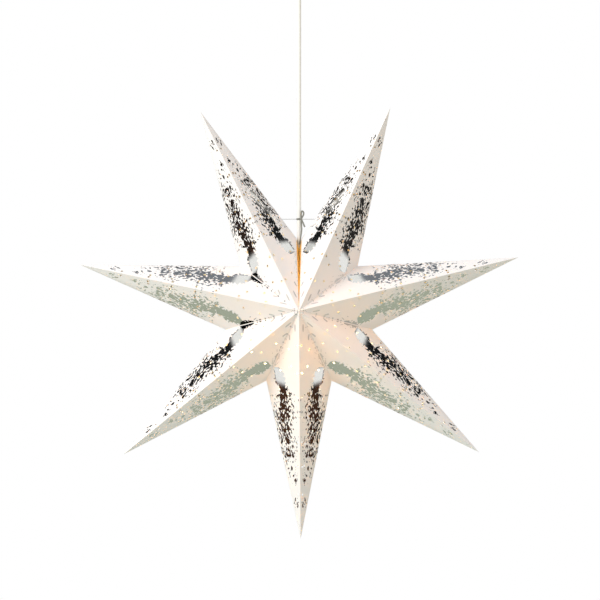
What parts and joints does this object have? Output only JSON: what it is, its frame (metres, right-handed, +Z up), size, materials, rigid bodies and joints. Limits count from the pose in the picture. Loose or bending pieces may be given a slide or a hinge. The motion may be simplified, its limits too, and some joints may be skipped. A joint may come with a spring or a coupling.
{
  "type": "pendant star lamp",
  "caption": "Folded paper star lamp shade hung on a white cable, with a screw lampholder and globe bulb inside, a tie string, and a ceiling cup over its hook and terminal block.",
  "frame": {"origin": "centre of the ceiling plate's upper face, where it meets the ceiling", "axes": "+Z up out of the ceiling plate's face; the star's front looks along -Y; +X is to the right seen from the front"},
  "size_m": [0.5864, 0.18, 0.811],
  "materials": {
    "paper_white": "matt white card, silver foil print, small punched holes",
    "cable_white": "smooth white sheath",
    "string_grey": "twisted thread",
    "plastic_white": "moulded, satin",
    "ceramic_white": "unglazed",
    "nickel": "nickel plated",
    "brass": "turned",
    "zinc_steel": "zinc plated",
    "globe_opal": "opal, lit warm white",
    "led_board": "white board with yellow chips",
    "core_brown": "insulation",
    "core_blue": "insulation",
    "block_clear": "moulded"
  },
  "bodies": {
    "ceiling": {"ceiling_plate": "zinc_steel", "ceiling_hook": "zinc_steel", "hook_nut": "zinc_steel"},
    "hanger": {"cord_hanger": "plastic_white", "clamp_screw": "plastic_white", "terminal_block": "block_clear", "terminal_tubes": "brass", "terminal_screws": "zinc_steel", "core_wire_live": "core_brown", "core_wire_neutral": "core_blue"},
    "pendant": {"cable": "cable_white", "cable_grip": "plastic_white", "grip_screw": "zinc_steel", "holder_cap": "plastic_white", "holder_skirt": "plastic_white", "contact_block": "ceramic_white", "thread_shell": "nickel", "centre_contact": "brass", "tie_string": "string_grey", "arm_bottom": "paper_white", "arm_left": "paper_white", "arm_lower_left": "paper_white", "arm_lower_right": "paper_white", "arm_right": "paper_white", "arm_upper_left": "paper_white", "arm_upper_right": "paper_white"},
    "cup": {"ceiling_cup": "plastic_white", "cable_lock": "plastic_white", "lock_nut": "plastic_white", "lock_screw": "zinc_steel"},
    "bulb": {"bulb_globe": "globe_opal", "bulb_housing": "plastic_white", "bulb_cap": "nickel", "bulb_tip": "nickel", "bulb_led_disc": "led_board"}
  },
  "joints": [
    {"name": "hanger_swing", "type": "hinge", "parent": "ceiling", "child": "hanger", "pos_m": [0, 0, -0.0215], "axis": [0, 1, 0], "range_deg": [-5, 5]},
    {"name": "pendant_twist", "type": "hinge", "parent": "hanger", "child": "pendant", "pos_m": [0, 0, -0.045], "axis": [0, 0, 1], "range_deg": [-180, 180]},
    {"name": "cup_slide", "type": "slide", "parent": "pendant", "child": "cup", "axis": [0, 0, -1], "range_m": [0, 0.12]},
    {"name": "bulb_withdraw", "type": "slide", "parent": "pendant", "child": "bulb", "axis": [0, 0, -1], "range_m": [0, 0.03]}
  ]
}
